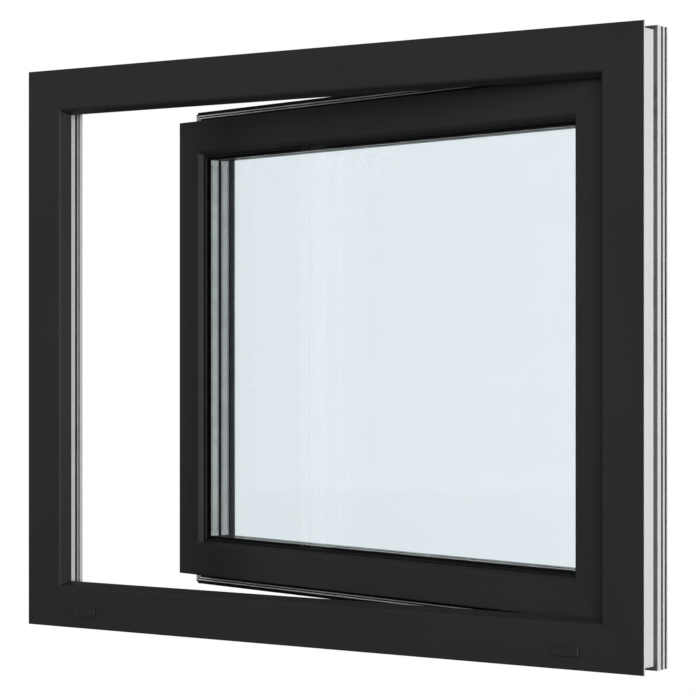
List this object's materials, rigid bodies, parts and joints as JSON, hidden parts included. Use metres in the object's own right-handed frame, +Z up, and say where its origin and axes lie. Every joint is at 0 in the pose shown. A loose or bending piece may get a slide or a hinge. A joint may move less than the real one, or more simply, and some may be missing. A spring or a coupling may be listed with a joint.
{
  "type": "casement window",
  "caption": "Inward-opening turn window: a dark foiled frame of hollow bars, a triple-glazed sash on side hinges, and a cranked lever handle that drives two locking bolts.",
  "frame": {"origin": "middle of the frame's bottom edge, on its outside face", "axes": "+X to the right seen from outside (the hinge side), +Y into the room, +Z up"},
  "size_m": [1.05, 0.3786, 0.84],
  "materials": {
    "frame_profile": "dark fine-grained foil over a white hollow plastic bar",
    "foil": "dark fine-grained foil",
    "steel": "galvanised",
    "glass": "clear, faintly blue",
    "black_rubber": "matt",
    "grey_rubber": "matt",
    "spacer": "matt, perforated",
    "zinc": "zinc plated",
    "dark_plastic": "moulded",
    "block_plastic": "moulded",
    "black_metal": "satin powder coat"
  },
  "bodies": {
    "frame": {"frame_head": "frame_profile", "frame_sill": "frame_profile", "frame_lock_jamb": "frame_profile", "frame_hinge_jamb": "frame_profile", "frame_head_steel": "steel", "frame_sill_steel": "steel", "frame_lock_jamb_steel": "steel", "frame_hinge_jamb_steel": "steel", "frame_gasket": "black_rubber", "drain_cap_left": "dark_plastic", "drain_cap_right": "dark_plastic", "bolt_keeper_top": "zinc", "bolt_keeper_bottom": "zinc", "keeper_screws": "zinc", "run_up_block": "dark_plastic", "hinge_bracket_lower": "black_metal", "hinge_bracket_upper": "black_metal", "hinge_pin_lower": "zinc", "hinge_pin_upper": "zinc", "bracket_screws": "zinc"},
    "sash": {"sash_top_rail": "foil", "sash_bottom_rail": "foil", "sash_lock_stile": "foil", "sash_hinge_stile": "foil", "sash_top_rail_steel": "steel", "sash_bottom_rail_steel": "steel", "sash_lock_stile_steel": "steel", "sash_hinge_stile_steel": "steel", "overlap_gasket": "grey_rubber", "outer_glazing_gasket": "black_rubber", "inner_glazing_gasket": "black_rubber", "outer_pane": "glass", "middle_pane": "glass", "inner_pane": "glass", "outer_spacer": "spacer", "inner_spacer": "spacer", "outer_edge_seal": "black_rubber", "inner_edge_seal": "black_rubber", "setting_blocks": "block_plastic", "glazing_bead_top": "foil", "glazing_bead_bottom": "foil", "glazing_bead_lock_side": "foil", "glazing_bead_hinge_side": "foil", "hinge_leaf_lower": "black_metal", "hinge_leaf_upper": "black_metal", "leaf_screws": "zinc", "gear_faceplate": "zinc", "faceplate_screws": "zinc", "gear_case": "zinc", "bolt_guide_top": "dark_plastic", "bolt_guide_bottom": "dark_plastic", "handle_base": "zinc", "handle_rose": "black_metal", "handle_screws": "zinc"},
    "handle": {"handle_lever": "black_metal", "handle_spindle": "zinc", "drive_pinion": "zinc"},
    "upper_bolt": {"upper_bolt_rod": "zinc"},
    "lower_bolt": {"lower_bolt_rod": "zinc"}
  },
  "joints": [
    {"name": "sash_swing", "type": "hinge", "parent": "frame", "child": "sash", "pos_m": [0.494, 0.094, 0.42], "axis": [0, 0, -1], "range_deg": [-15, 75]},
    {"name": "handle_turn", "type": "hinge", "parent": "sash", "child": "handle", "pos_m": [-0.41574, 0.34035, 0.42], "axis": [0.2588, 0.9659, 0], "range_deg": [0, 180]},
    {"name": "upper_bolt_slide", "type": "slide", "parent": "sash", "child": "upper_bolt", "axis": [0, 0, 1], "range_m": [-0.0001, 0.02769]},
    {"name": "lower_bolt_slide", "type": "slide", "parent": "sash", "child": "lower_bolt", "axis": [0, 0, -1], "range_m": [-0.0001, 0.02769]}
  ],
  "couplings": [
    {"joint": "upper_bolt_slide", "follows": "handle_turn", "m_per_rad": 0.00875},
    {"joint": "lower_bolt_slide", "follows": "handle_turn", "m_per_rad": 0.00875}
  ]
}
